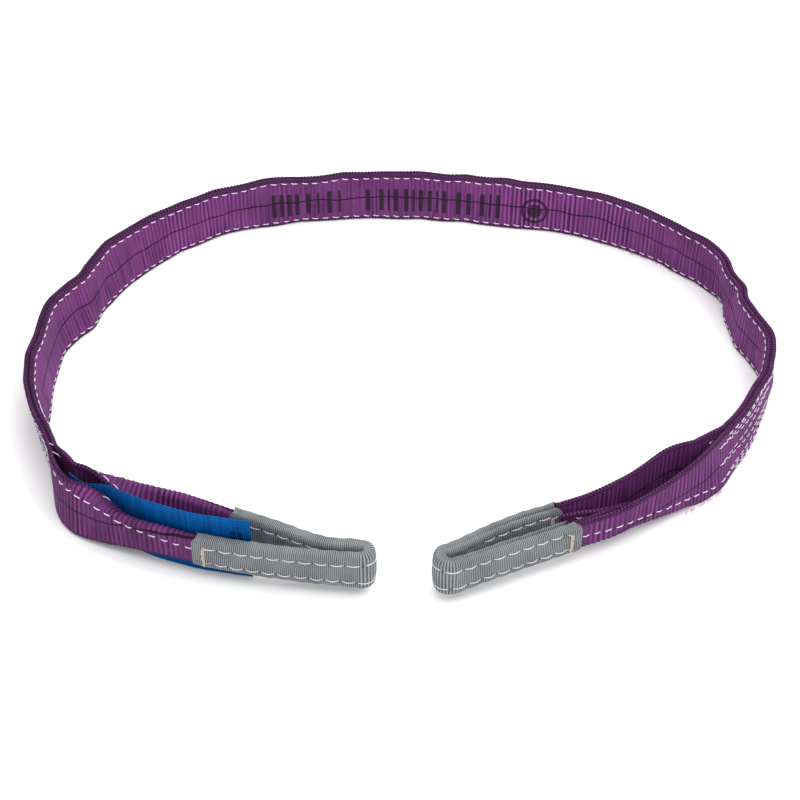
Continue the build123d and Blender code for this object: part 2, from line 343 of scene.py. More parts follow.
class Strip:
    """A web beside a run. across is measured from its lower edge when it is flat."""

    def __init__(self, run, inward, seed, ribs, lean, fold=None, rows=(SEAM, WIDTH - SEAM), foot=None):
        self.run, self.inward, self.seed = run, inward, seed
        self.ribs, self.lean, self.fold = ribs, lean, fold
        self.rows, self.foot = rows, foot

    def row(self, k, along):
        """Distance across of a sewn row."""
        row = self.rows[k]
        return table(row, along) if isinstance(row, list) else np.full(np.shape(along), float(row))

    def rib(self, along):
        """Height of the cross ribs, in mm, and the same as a share of the strongest."""
        p = along * self.run.side
        phase = math.tau * p / RIB + 1.6 * wander(p, 11, self.seed) + 2.2 * wander(p, 37, 5)
        size = table(self.ribs, along) * (1.0 + 0.6 * wander(p, 8, self.seed + 1))
        wave = np.cos(phase)
        return size * (wave - 0.35 * wave * wave), size * wave / 0.22

    def relief(self, along, across):
        """How far the face stands out."""
        rib, _ = self.rib(along)
        inside = np.clip((np.minimum(across, WIDTH - across) - SELVEDGE) / 1.5, 0, 1)
        out = rib * inside
        pull = 0.6 - 0.4 * np.cos(math.tau * (along * self.run.side - DASH_SEWN / 2) / DASH)
        for k in range(len(self.rows)):
            out = out - 0.2 * pull * bump(across, self.row(k, along), 0.9)
        return out

    def at(self, along, across, face, proud=0.0):
        """Inward and up of a place on a face: -1 is the outer one, 1 the inner one."""
        along, across = np.broadcast_arrays(np.asarray(along, float), np.asarray(across, float))
        across, half = self.section(along, across, proud)
        if self.fold is None:
            side, up = face * half, across
        else:
            side, up = self.folded(along, across, face, half)
        sway, up = self.sway(along, up)
        return self.inward + side + sway, np.maximum(up, FLOOR_GAP)

    def section(self, along, across, proud):
        """A place across moved to the scalloped edge, and the half thickness there."""
        p = along * self.run.side
        teeth = TEETH * (0.5 + 0.5 * np.cos(math.tau * p / EDGE_TEETH + 2 * wander(p, 6, 3)))
        teeth = teeth * (0.7 + 0.3 * wander(p, 5, self.seed + 7))
        near = np.clip(1 - np.minimum(across, WIDTH - across) / SELVEDGE, 0, 1)
        across = across + teeth * near * np.where(across < WIDTH / 2, 1, -1)
        edge = np.clip(np.minimum(across - teeth * near, WIDTH - across - teeth * near), 0, None)
        half = THICK / 2 * np.sqrt(1 - np.clip(1 - edge / EDGE_ROUND, 0, 1) ** 2)
        half = half + np.where(half > 0.3, self.relief(along, across) + proud, proud)
        return across, half + 0.26 * near * np.cos(math.tau * p / EDGE_TEETH + 1.3)

    def sway(self, along, up):
        """How far the web leans, bows and crumples inwards at a height, and the height it gets."""
        p = along * self.run.side
        free = np.clip((CALM_FROM - along) / 60, 0, 1)
        lean = table(self.lean, along) + (0.3 + 0.9 * free) * wander(p, 27, 11)
        bow = 0.6 * wander(p, 19, 12) * (up / WIDTH - 0.5) * free
        drift = 0.7 * wander(p, 31, 14) * free
        crumple = 1.7 * (np.hypot(wander(p + 0.9 * up, 25, 17), 0.25) - 0.5) * free
        drift = drift + crumple * np.clip((STIFF_FROM - along) / 40, 0.15, 1)
        for middle, deep, wide in CREASES[self.run.side]:
            drift = drift + deep * bump(along + CREASE_SLANT * up, middle, wide)
        if self.foot is not None:
            drift = drift - table(self.foot, along) * np.clip(1 - up / WIDTH, 0, 1)
        up = up + 0.5 * wander(p, 15, 13) * up / WIDTH
        return lean * up / WIDTH + bow + drift, up

    def folded(self, along, across, face, half):
        """Aside and up of a place on a face of a web that is being folded lengthwise."""
        fold = self.fold
        d = across if fold["up"] else WIDTH - across
        crease = table(fold["crease"], along)
        angle = np.radians(table(fold["angle"], along))
        edge = table(fold["edge"], along)
        to = fold["to"]
        bent = np.clip(d - crease, 0, BEND_R * angle) / BEND_R
        rest = np.maximum(d - crease - BEND_R * angle, 0)
        side = to * (BEND_R * (1 - np.cos(bent)) + rest * np.sin(bent))
        up = np.minimum(d, crease) + BEND_R * np.sin(bent) + rest * np.cos(bent)
        side = side + face * np.cos(bent) * half
        up = up - face * to * np.sin(bent) * half
        return side, edge + up if fold["up"] else edge - up

    def points(self, along, across, face, proud=0.0):
        """The same as at, in metres."""
        inward, up = self.at(along, across, face, proud)
        along = np.broadcast_to(np.asarray(along, float), inward.shape)
        return place(self.run, along, inward, up)


def web(name, strip, start, end, material, front=FINE, back=COARSE):
    """The mesh of a strip between two lengths, with the stations of its outer and inner face."""
    along = np.linspace(start, end, int(round((end - start) / STEP)) + 1)[:, None]
    back = back[1:-1][::-1]
    rings = np.concatenate([strip.points(along, front, -1), strip.points(along, back, 1)], 1)
    across = np.concatenate([front, 2 * WIDTH - back, [2 * WIDTH]])
    _, share = strip.rib(along)
    # Share of the rib height at the points, used to paint highlight on the rib crests and shade in their
    # valleys.
    values = {"rib": np.broadcast_to(share, rings.shape[:2])}
    length = along[:, 0] * strip.run.side
    obj = tube_mesh(name, rings, length, across, material, values)
    return obj


# ---- Sewing ----

ARCH = np.sin(np.linspace(0, math.pi, 7))  # rise of a stitch over its length
SLANT = np.linspace(-0.22, 0.22, 7)  # how far across it runs askew


def dashes(strip, k, start, end, face, seed):
    """Paths of the stitches of a row, on one face."""
    rng = np.random.default_rng(seed)
    side = strip.run.side
    first, last = sorted((start * side, end * side))
    paths = []
    for n in range(math.ceil(first / DASH), math.floor((last - DASH_SEWN) / DASH) + 1):
        jitter = rng.uniform(-1, 1, 4)
        begin = n * DASH + 0.25 * jitter[0]
        along = np.linspace(begin, begin + DASH_SEWN + 0.35 * jitter[1], 7) * side
        across = strip.row(k, along) + SLANT * (1 + jitter[2]) + 0.12 * jitter[3]
        paths.append(strip.points(along, across, face, -0.5 + 0.78 * ARCH**0.5))
    return paths


def bridge(strip, along):
    """One stitch that crosses over the top edges of both plies."""
    part = np.linspace(-1, 1, 11)
    inward, up = strip.at(np.full(11, along), np.full(11, WIDTH - 0.6), 1)
    side = PLY + 1.7 * np.abs(part) ** 0.8
    across = part * side + (inward - strip.inward - 1.3)
    over = up + 0.5 - 3.0 * np.abs(part) ** 3
    return [place(strip.run, along + 1.6 * part, across, over)]


def sewn_line(strip, knots, face, seed):
    """Stitches along straight lines between (along, across) points of a face."""
    rng = np.random.default_rng(seed)
    paths = []
    for (a0, t0), (a1, t1) in zip(knots, knots[1:]):
        count = math.hypot(a1 - a0, t1 - t0) / SPLICE_DASH
        phase = rng.uniform(0, 1)
        for n in range(-1, math.ceil(count)):
            begin = n + phase + 0.05 * rng.uniform(-1, 1)
            finish = begin + DASH_SEWN / SPLICE_DASH
            begin, finish = np.clip([begin, finish], 0.05, count - 0.05) / count
            if finish - begin < 0.3 / count:
                continue
            part = np.linspace(begin, finish, 7)
            along, across = a0 + (a1 - a0) * part, t0 + (t1 - t0) * part
            paths.append(strip.points(along, across, face, -0.25 + 0.5 * ARCH**0.4))
    return paths


def sew(name, paths, radius=THREAD_R):
    """A row of stitches as one piece."""
    obj = thread_object(name, paths, radius, MATERIALS["thread"])
    return obj


# ---- Sleeves ----

# Heights of the points up a face, and widths of those over the top, as shares
FACE_LEVELS = np.array([
    -0.85, -0.78, -0.7, -0.62, -0.56, -0.5, -0.42, -0.32, -0.16, 0,
    0.16, 0.3, 0.38, 0.44, 0.5, 0.56, 0.62, 0.7, 0.78, 0.85,
])
ROLL = np.array([0.74, 0.62, 0.5, 0.38, 0.28, 0.2, 0.13, 0.06])
# (how far in from the mouth, how far proud of the skin) of the rings that line it
LIP = [(MOUTH_DEPTH, -0.72), (4.0, -0.72), (0.5, -0.72), (0.05, -0.6), (-0.12, -0.35), (-0.05, -0.12)]


def other_share(share):
    """The share across of a point of the sleeve's outline from its share up, or the reverse."""
    return (1 - np.abs(share) ** SLEEVE_POWER) ** (1 / SLEEVE_POWER)


class Sleeve:
    """A woven tube round the folded web, from one mouth round the tip to the other."""

    def __init__(self, half, mouths, seed):
        self.run, self.mouths, self.tip, self.seed = half.run, mouths, half.tip, seed
        self.groove, self.tip_extra, self.lift = half.groove, half.tip_extra, half.lift

    def outline(self):
        """(share across, share up) round the tube, from the bottom up the outer face and back."""
        roll, face = other_share(ROLL), other_share(FACE_LEVELS)
        q = np.concatenate([[0], ROLL[::-1], face, ROLL, [0]])
        z = np.concatenate([[-1], -roll[::-1], FACE_LEVELS, roll, [1]])
        return np.concatenate([-q, q[1:-1][::-1]]), np.concatenate([z, z[1:-1][::-1]])

    def at(self, along, q, z, proud=0.0):
        """Inward and up of a place given as shares of the half width and the half height."""
        power = SLEEVE_POWER
        bend = bump(along, self.tip, 9)
        nq, nz = np.sign(q) * np.abs(q) ** (power - 1), np.sign(z) * np.abs(z) ** (power - 1)
        size = np.hypot(nq / SLEEVE_HALF, nz / SLEEVE_TALL) + 1e-9
        nq, nz = nq / SLEEVE_HALF / size, nz / SLEEVE_TALL / size
        side = q * SLEEVE_HALF
        tall = SLEEVE_TALL + self.tip_extra * bump(along, self.tip, 12)
        up = SLEEVE_MIDDLE + z * tall
        up = up + self.lift * np.clip((self.tip - 30 - along) / 40, 0, 1) * np.clip(-z, 0, 1)
        pinch = self.pinch(along, q, z)
        roll = np.clip((np.abs(z) - 0.75) * 4, 0, 1)
        lumps = 0.16 * np.cos(math.tau * along / SLEEVE_PITCH + math.pi) * roll
        rib = 0.075 * np.cos(math.tau * along / SLEEVE_RIB + wander(along, 7, self.seed))
        rough = 0.12 * wander(along, 12, self.seed + 1) + 0.1 * wander(along + 40 * z, 9, self.seed + 2)
        out = (rib + rough + lumps) * (1 - 0.6 * bend) - pinch * (1 - 0.5 * bend) + proud
        side, up = side + nq * out, up + nz * out
        if self.groove is not None:
            depth = table(self.groove, along)
            up = up - depth * bump(side, 0.7, 0.62) * np.clip((z - 0.6) * 4, 0, 1)
        return side, up

    def pinch(self, along, q, z):
        """How far the sewn rows pull the skin in, less so near the mouths."""
        pinch = 0
        for level, shift in SLEEVE_ROWS:
            pull = np.cos(math.tau * (along - shift) / SLEEVE_PITCH)
            pinch = pinch + (0.5 + 0.28 * pull) * bump(z, level, 0.1)
        ends = np.minimum(along - self.mouths[0], self.mouths[1] - along)
        return pinch * np.clip((np.abs(q) - 0.5) * 4, 0, 1) * np.clip((ends - 3) / 6, 0.1, 1)

    def mouth_shift(self, q, z, k, near):
        """How far the cloth at a mouth is set back from it."""
        corner = np.clip((np.abs(z) - 0.72) / 0.28, 0, 1) ** 2 * 1.6
        if self.groove is not None:
            corner = corner + np.clip((z - 0.45) / 0.55, 0, 1) ** 2 * 1.6
            if k == 0:
                corner = corner + 4.5 * np.clip(q * 1.6 + 0.2, 0, 1)
        return corner * near

    def points(self, along, q, z, proud=0.0):
        """The same as at, in metres."""
        inward, up = self.at(along, q, z, proud)
        return place(self.run, along, inward, up)


def sleeve_mesh(name, sleeve):
    """The skin of a sleeve, turned in at both mouths."""
    q, z = sleeve.outline()
    start, end = sleeve.mouths
    stations = [(start + ahead, inset) for ahead, inset in LIP]
    stations += [(along, 0.0) for along in np.linspace(start, end, round((end - start) / SLEEVE_STEP) + 1)]
    stations += [(end - ahead, inset) for ahead, inset in LIP[::-1]]
    along, inset = (np.array(column)[:, None] for column in zip(*stations))
    shift = sleeve.mouth_shift(q, z, 0, np.clip(1 - (along - start) / 14, 0, 1) ** 2)
    shift = shift - sleeve.mouth_shift(q, z, 1, np.clip(1 - (end - along) / 14, 0, 1) ** 2)
    at = along + shift
    rings = sleeve.points(at, q, z, inset)
    v = np.concatenate([[0], np.cumsum(np.hypot(np.diff(q) * SLEEVE_HALF, np.diff(z) * 9.4))])
    v = np.append(v, v[-1] + 0.5)
    # Painted shade: dark at the needle holes of the sewn rows, and over the cloth turned in at the mouths.
    hole_shade = np.zeros(rings.shape[:2])
    for level, first in SLEEVE_ROWS:
        wave = np.cos(math.tau * (at - first) / SLEEVE_PITCH)
        hole_shade += bump(z, level, 0.06) * np.clip((wave - 0.93) / 0.07, 0, 1) * (np.abs(q) > 0.6)
    inside = np.broadcast_to(inset < -0.5, hole_shade.shape)
    values = {"shade_in_holes_and_mouths": np.clip(hole_shade + 0.8 * inside, 0, 1)}
    obj = tube_mesh(name, rings, along[:, 0], v, MATERIALS["sleeve"], values)
    return obj


def sleeve_row(sleeve, level, shift, face, start, end, seed):
    """Long stitches from needle hole to needle hole."""
    rng = np.random.default_rng(seed)
    q = face * other_share(level)
    paths = []
    first = math.ceil((start - shift) / SLEEVE_PITCH)
    last = math.floor((end - shift) / SLEEVE_PITCH)
    for n in range(first, last):
        part = np.linspace(0.02, 0.98, 9)
        along = shift + (n + part) * SLEEVE_PITCH
        arch = np.sin(np.pi * (part - 0.02) / 0.96)
        sag = (0.024 + 0.014 * rng.uniform(-1, 1)) * arch
        z = level - sag + 0.008 * rng.uniform(-1, 1)
        paths.append(sleeve.points(along, np.full(9, q), z, -0.3 + 0.62 * arch**0.5))
    return paths


def tack(sleeve, along, face, seed):
    """A bartack across a leg: close crooked rows of thread, with a few loose ends."""
    rng = np.random.default_rng(seed)
    paths = []
    for k in range(4):
        low_z, high_z = -0.78 + 0.1 * rng.uniform(-1, 1), 0.52 + 0.12 * rng.uniform(-1, 1)
        z = np.linspace(low_z, high_z, 27)
        wave = 0.55 * np.sin(z * (9 + 2 * k) + 2 * k)
        at = along + 0.55 * (k - 1.5) * (0.5 + 0.8 * z) + 0.7 * wave + 0.12 * rng.uniform(-1, 1, 27)
        q = face * other_share(z)
        paths.append(sleeve.points(at, q, z, 0.12 + 0.16 * np.abs(np.sin(z * 11 + k))))
    for k in range(4):
        part = np.linspace(0, 1, 9)
        z = (-0.6, -0.52, 0.2, 0.4)[k] + 0.22 * part * rng.uniform(-1, 1)
        at = along + (1.0 + 3.2 * rng.uniform(0.4, 1)) * part * (1 if k % 2 else -0.4)
        q = face * other_share(z)
        paths.append(sleeve.points(at, q, z, 0.2 + 0.3 * np.sin(3 * part)))
    return paths


# ---- Materials ----


def put_values(node, values):
    """Set inputs of a node by name."""
    for name, value in values.items():
        node.inputs[name].default_value = value


def new_material(name):
    """A material, its node tree and its shader."""
    material = bpy.data.materials.new(name)
    material.use_nodes = True
    return material, material.node_tree, material.node_tree.nodes["Principled BSDF"]


class Paint:
    """A procedural material, built node by node."""

    def __init__(self, name):
        self.material, self.tree, self.shader = new_material(name)
        cloth = self.node("ShaderNodeUVMap")
        cloth.uv_map = "Cloth"
        split = self.node("ShaderNodeSeparateXYZ")
        self.link(cloth.outputs[0], split.inputs[0])
        self.uv, self.u, self.v = cloth.outputs[0], split.outputs[0], split.outputs[1]

    def node(self, kind):
        """A new shader node."""
        return self.tree.nodes.new(kind)

    def link(self, a, b):
        """Link an output to an input."""
        self.tree.links.new(a, b)

    def put(self, value, socket):
        """Link or set a socket."""
        if isinstance(value, bpy.types.NodeSocket):
            self.link(value, socket)
        else:
            socket.default_value = value

    def math(self, operation, *values):
        """The output of a math node."""
        node = self.node("ShaderNodeMath")
        node.operation = operation
        for value, socket in zip(values, node.inputs):
            self.put(value, socket)
        return node.outputs[0]

    def vary(self, tone, value, share):
        """The tone, raised by a share of how far a value is from a half."""
        return self.math("MULTIPLY_ADD", self.math("SUBTRACT", value, 0.5), share, tone)

    def clamp(self, value):
        """A value held between 0 and 1."""
        return self.math("MINIMUM", self.math("MAXIMUM", value, 0.0), 1.0)

    def near(self, value, middle, half, soft):
        """1 within half of the middle, fading to 0 over soft."""
        away = self.math("ABSOLUTE", self.math("SUBTRACT", value, middle))
        return self.step(away, half + soft, half)

    def step(self, value, zero_at, one_at):
        """A smooth step from 0 to 1."""
        node = self.node("ShaderNodeMapRange")
        node.interpolation_type = "SMOOTHSTEP"
        for item, socket in zip((value, zero_at, one_at, 0.0, 1.0), node.inputs):
            self.put(item, socket)
        return node.outputs[0]

    def noise(self, scale, detail, stretch=(1, 1, 1)):
        """Noise over the cloth, finer along each direction that is stretched by more."""
        mapping = self.node("ShaderNodeMapping")
        mapping.inputs["Scale"].default_value = stretch
        self.link(self.uv, mapping.inputs[0])
        node = self.node("ShaderNodeTexNoise")
        put_values(node, {"Scale": scale, "Detail": detail})
        self.link(mapping.outputs[0], node.inputs["Vector"])
        return node.outputs["Fac"]

    def wave(self, value, period):
        """A cosine between 0 and 1."""
        turned = self.math("MULTIPLY", value, math.tau / period)
        return self.math("MULTIPLY_ADD", self.math("COSINE", turned), 0.5, 0.5)

    def value(self, name):
        """A value kept at the points of the mesh."""
        node = self.node("ShaderNodeAttribute")
        node.attribute_name = name
        return node.outputs["Fac"]

    def mix(self, factor, a, b):
        """A colour between two others."""
        node = self.node("ShaderNodeMix")
        node.data_type = "RGBA"
        self.put(factor, node.inputs["Factor"])
        self.put(a, node.inputs["A"])
        self.put(b, node.inputs["B"])
        return node.outputs["Result"]

    def finish(self, color, rough, height, distance, sheen, tint, specular=0.15):
        """Wire up the shader and return the material."""
        bump_node = self.node("ShaderNodeBump")
        put_values(bump_node, {"Distance": distance, "Strength": 1.0})
        self.put(height, bump_node.inputs["Height"])
        self.link(bump_node.outputs[0], self.shader.inputs["Normal"])
        self.put(color, self.shader.inputs["Base Color"])
        self.put(rough, self.shader.inputs["Roughness"])
        put_values(self.shader, {"Sheen Weight": sheen, "Sheen Roughness": 0.4, "Sheen Tint": tint})
        put_values(self.shader, {"Specular IOR Level": specular})
        return self.material


def rgb(*shown):
    """A colour from its 0 to 255 display values."""
    return (*(((c / 255 + 0.055) / 1.055) ** 2.4 if c > 10 else c / 255 / 12.92 for c in shown), 1)


# (middle, width) of each bar, to the right of the middle of the back
PRINT_BARS = [
    (-79.0, 2.4), (-74.4, 2.4), (-69.8, 2.4), (-65.2, 2.4), (-58.4, 2.6), (-52.4, 1.2), (-45.6, 2.6),
    (-39.6, 1.2), (-22.4, 2.6), (-14.4, 2.4), (-10.0, 1.2), (-5.6, 2.4), (0.6, 2.4), (5.0, 1.2),
    (9.4, 2.4), (14.8, 2.4), (19.2, 1.2), (23.6, 2.4), (32.4, 2.6), (38.4, 2.6), (46.6, 2.6),
    (51.4, 1.2), (56.2, 2.6),
]
PRINT_UP = 13.2
PRINT_HALF = 7.2
DISC_AT = 78.0
DISC_R = 8.0


def web_paint(name, light=(130, 65, 132), printed=False):
    """Violet webbing: cross ribs with painted highlights on their crests and painted shade in their valleys,
    dark selvedges, a black tracer yarn, and faded patches.
    """
    p = Paint(name)
    across = p.math("PINGPONG", p.v, WIDTH)
    rib = p.value("rib")
    fine = p.wave(p.u, 0.92)
    patch = p.noise(0.05, 3.0)
    grain = p.noise(1.6, 3.0, (1, 0.35, 1))
    streak = p.noise(1.0, 2.0, (1.1, 0.03, 1))
    light, dark = rgb(*light), rgb(50, 19, 55)
    # Painted highlight on the rib crests and painted shade in their valleys, from the rib height at the
    # points.
    rib_crest_highlight = p.math("MAXIMUM", rib, 0.0)
    tone = p.math("MULTIPLY_ADD", rib, 0.22, 0.4)
    tone = p.math("MULTIPLY_ADD", p.math("MULTIPLY", rib_crest_highlight, rib_crest_highlight), 0.55, tone)
    for value, share in ((streak, 0.9), (patch, 0.55), (grain, 0.35), (fine, 0.16)):
        tone = p.vary(tone, value, share)
    color = p.mix(p.clamp(tone), dark, light)
    warped = p.vary(across, p.noise(0.045, 1.0, (1, 0, 1)), 5.0)
    tracer = p.near(warped, WIDTH / 2, 0.3, 0.25)
    color = p.mix(p.math("MULTIPLY", tracer, 0.92), color, rgb(24, 9, 28))
    away = p.math("ABSOLUTE", p.math("SUBTRACT", across, WIDTH / 2))
    edge = p.step(away, WIDTH / 2 - 2.4, WIDTH / 2 - 1.4)
    ahead = p.wave(p.math("ADD", p.u, across), EDGE_TEETH)
    behind = p.wave(p.math("SUBTRACT", p.u, p.math("MULTIPLY", across, 1.4)), EDGE_TEETH)
    edge_color = p.mix(p.math("MULTIPLY", ahead, behind), rgb(26, 8, 30), rgb(112, 56, 114))
    color = p.mix(p.math("MULTIPLY", edge, 0.9), color, edge_color)
    if printed:
        ink = p.math("MULTIPLY", print_mask(p), p.math("MULTIPLY_ADD", grain, 0.5, 0.62))
        color = p.mix(ink, color, rgb(34, 24, 34))
    height = p.math("MULTIPLY_ADD", fine, 0.6, p.math("MULTIPLY", grain, 0.5))
    rough = p.math("MULTIPLY_ADD", grain, 0.2, 0.58)
    return p.finish(color, rough, height, 0.00014, 0.05, rgb(200, 150, 210), 0.1)


def print_mask(p):
    """Plain bars and a disc in place of a printed marking, on the inner face only."""
    inner = p.math("GREATER_THAN", p.v, WIDTH)
    up = p.math("SUBTRACT", 2 * WIDTH, p.v)
    right = p.math("SUBTRACT", BACK[0], p.u)
    bars = 0.0
    for middle, wide in PRINT_BARS:
        bars = p.math("MAXIMUM", bars, p.near(right, middle, wide / 2, 0.25))
    bars = p.math("MULTIPLY", bars, p.near(up, PRINT_UP, PRINT_HALF, 0.25))
    x = p.math("SUBTRACT", right, DISC_AT)
    y = p.math("SUBTRACT", up, PRINT_UP)
    away = p.math("SQRT", p.math("ADD", p.math("MULTIPLY", x, x), p.math("MULTIPLY", y, y)))
    disc = p.step(away, DISC_R + 0.3, DISC_R)
    ring = p.math("MULTIPLY", disc, p.math("SUBTRACT", 1.0, p.near(away, DISC_R * 0.68, 0.8, 0.3)))
    return p.math("MULTIPLY", p.math("MAXIMUM", bars, ring), inner)


def sleeve_paint():
    """Grey woven sleeve: fine ribs round the tube, with painted shade in the valleys between them, in the
    needle holes and inside the mouths.
    """
    p = Paint("grey_sleeve")
    rib = p.wave(p.u, SLEEVE_RIB)
    grain = p.noise(2.2, 3.0, (1, 0.5, 1))
    patch = p.noise(0.09, 2.0)
    # The rib wave sets the valleys dark and the crests light: painted shade and highlight on the ribs.
    tone = p.math("MULTIPLY_ADD", rib, 0.8, 0.06)
    tone = p.vary(p.vary(tone, grain, 0.5), patch, 0.5)
    color = p.mix(p.clamp(tone), rgb(54, 58, 62), rgb(154, 159, 162))
    # Painted shade in the needle holes and inside the mouths.
    color = p.mix(p.value("shade_in_holes_and_mouths"), color, rgb(38, 40, 44))
    height = p.math("MULTIPLY_ADD", rib, 1.0, p.math("MULTIPLY", grain, 0.5))
    rough = p.math("MULTIPLY_ADD", grain, 0.2, 0.55)
    return p.finish(color, rough, height, 0.00015, 0.08, rgb(220, 225, 230))


def thread_paint(name, light, dark):
    """Twisted sewing thread."""
    material, tree, shader = new_material(name)
    kinds = ("TexCoord", "TexNoise", "Mix", "Bump")
    coordinates, noise, mix, bumps = (tree.nodes.new(f"ShaderNode{kind}") for kind in kinds)
    put_values(noise, {"Scale": 900.0, "Detail": 2.0})
    mix.data_type = "RGBA"
    put_values(mix, {"A": dark, "B": light})
    put_values(bumps, {"Distance": 0.00015})
    for source, target in (
        (coordinates.outputs["Object"], noise.inputs["Vector"]),
        (noise.outputs["Fac"], mix.inputs["Factor"]),
        (noise.outputs["Fac"], bumps.inputs["Height"]),
        (mix.outputs["Result"], shader.inputs["Base Color"]),
        (bumps.outputs[0], shader.inputs["Normal"]),
    ):
        tree.links.new(source, target)
    put_values(shader, {"Roughness": 0.6, "Sheen Weight": 0.2})
    return material


def label_paint():
    """Blue coated cloth with faint upright streaks and a few plain dark squares near its end."""
    p = Paint("label_blue")
    streak = p.noise(1.0, 3.0, (0.7, 0.02, 1))
    grain = p.noise(1.5, 3.0)
    lines = p.wave(p.v, 1.7)
    top = p.step(p.v, LABEL_TOP - 7.0, LABEL_TOP - 1.0)
    tone = p.vary(p.vary(0.42, streak, 1.1), grain, 0.25)
    tone = p.math("MULTIPLY_ADD", p.math("MULTIPLY", top, lines), 0.45, tone)
    # Darker towards its end by the throat.
    deep = p.step(p.u, 62.0, 8.0)
    color = p.mix(p.clamp(tone), rgb(0, 38, 92), rgb(0, 96, 170))
    color = p.mix(p.math("MULTIPLY", deep, 0.55), color, rgb(2, 26, 72))
    marks = 0.0
    for u0 in (89.2, 92.8):
        for v0 in (19.5, 23.0, 26.5):
            square = p.math("MULTIPLY", p.near(p.u, u0, 1.2, 0.2), p.near(p.v, v0, 1.2, 0.2))
            marks = p.math("MAXIMUM", marks, square)
    color = p.mix(p.math("MULTIPLY", marks, 0.75), color, rgb(8, 22, 52))
    height = p.math("MULTIPLY_ADD", grain, 0.6, p.math("MULTIPLY", lines, 0.3))
    return p.finish(color, 0.5, height, 0.0001, 0.0, rgb(150, 190, 255), 0.05)


LABEL_TOP = high("label_front")[2]
LABEL_LONG = 98.0
MATERIALS = {
    "web": web_paint("violet_web"),
    # The legs' copies are darker than the plain web: painted shade.
    "left_legs": web_paint("violet_web_left_legs_shaded", (122, 62, 122)),
    "right_legs": web_paint("violet_web_right_legs_shaded", (128, 64, 130)),
    # The inner ply's copy carries the print, and its lighter violet is painted light on the lit inner face.
    "printed": web_paint("violet_web_printed_lit", (140, 72, 141), True),
    "sleeve": sleeve_paint(),
    "thread": thread_paint("pale_thread", rgb(244, 238, 245), rgb(198, 186, 202)),
    "tack": thread_paint("beige_thread", rgb(226, 210, 190), rgb(176, 156, 136)),
    "fibre": thread_paint("violet_fibre", rgb(226, 170, 214), rgb(170, 100, 168)),
    "label": label_paint(),
}


# ---- The sling ----


# Heights of the corners of the splice's zigzag, away from the throat and towards it in turn
ZIGZAG = (26.6, 25.2, 20.4, 15.0, 9.8, 4.8, 3.4)

# Where the knots of a fold start, before the throat, and end, inside the sleeve
FOLD_FROM = 300
FOLD_TO = 480


def spots(run, hinge, reach):
    """Where a blend over a hinge starts and ends, in metres at mid height."""
    ends = (float(hinge - reach[0]), float(hinge + reach[1]))
    return tuple(tuple(map(float, place(run, np.array([a]), 0.0, MID_HEIGHT)[0])) for a in ends)


class Half:
    """One half: its stations in mm along its run, as in the CAD, its strips of web and its hinges."""

    def __init__(self, side, run, **stations):
        self.side, self.run = side, run
        self.__dict__.update(stations)
        self.inner_run, self.inner_at = self.inner_strand()
        self.add_strips()
        span, outer_root, outer_tip = f"{side}_span", f"{side}_outer_root", f"{side}_outer_tip"
        self.at_bend = ("crown", span, *spots(run, self.bend, BEND_SOFT))
        self.at_root = (span, outer_root, *spots(run, self.root, FOLD_SOFT))
        self.at_knee = (outer_root, outer_tip, *spots(run, self.knee, KNEE_SOFT))
        self.at_tip = (outer_tip, f"{side}_inner_tip", *spots(run, self.tip, FOLD_SOFT))
        self.at_inner_root = (span, f"{side}_inner_root", *spots(self.inner_run, self.root, FOLD_SOFT))

    def inner_strand(self):
        """The inner ply from the body on into the inner leg, as one line, and where its knee lies."""
        body = self.run.line(np.arange(self.cut, self.throat - 8, 1.0), PLY)
        leg = self.run.line(np.arange(self.end - 12, self.inner_knee - 14, -1.0), -PLY)
        gap = np.hypot(*(leg[0] - body[-1]))
        strand = Strand(np.concatenate([body, leg]), self.cut, self.run.side)
        return strand, self.throat - 9 + gap + (self.end - 12 - self.inner_knee)

    def stretched(self, knots):
        """Knots of the outer leg, stretched so that they fit the knee of the inner one."""
        more = (self.inner_at - self.knee) / (FOLD_TO - FOLD_FROM)
        return [(a + more * max(a - FOLD_FROM, 0), b) for a, b in knots]

    def add_strips(self):
        """The two plies of the body, and the two legs, which fold towards each other."""
        run, ribs, lean = self.run, self.ribs, self.lean
        self.outer = Strip(run, -PLY, OUTER_SEED, ribs, lean)
        self.inner = Strip(run, PLY, INNER_SEED, ribs, lean)
        rows = (self.outer_row, self.flap_row)
        self.leg = Strip(run, -PLY, OUTER_SEED, ribs, lean, self.outer_fold, rows, self.foot)
        fold = {key: self.stretched(self.outer_fold[key]) for key in ("crease", "angle", "edge")}
        fold.update(up=self.outer_fold["up"], to=-1)
        lean = [(a, b * (1 if a <= self.root else -0.4)) for a, b in lean]
        rows = (self.stretched(self.outer_row), self.flap_row)
        self.inner_leg = Strip(self.inner_run, 0.0, INNER_SEED, ribs, lean, fold, rows)


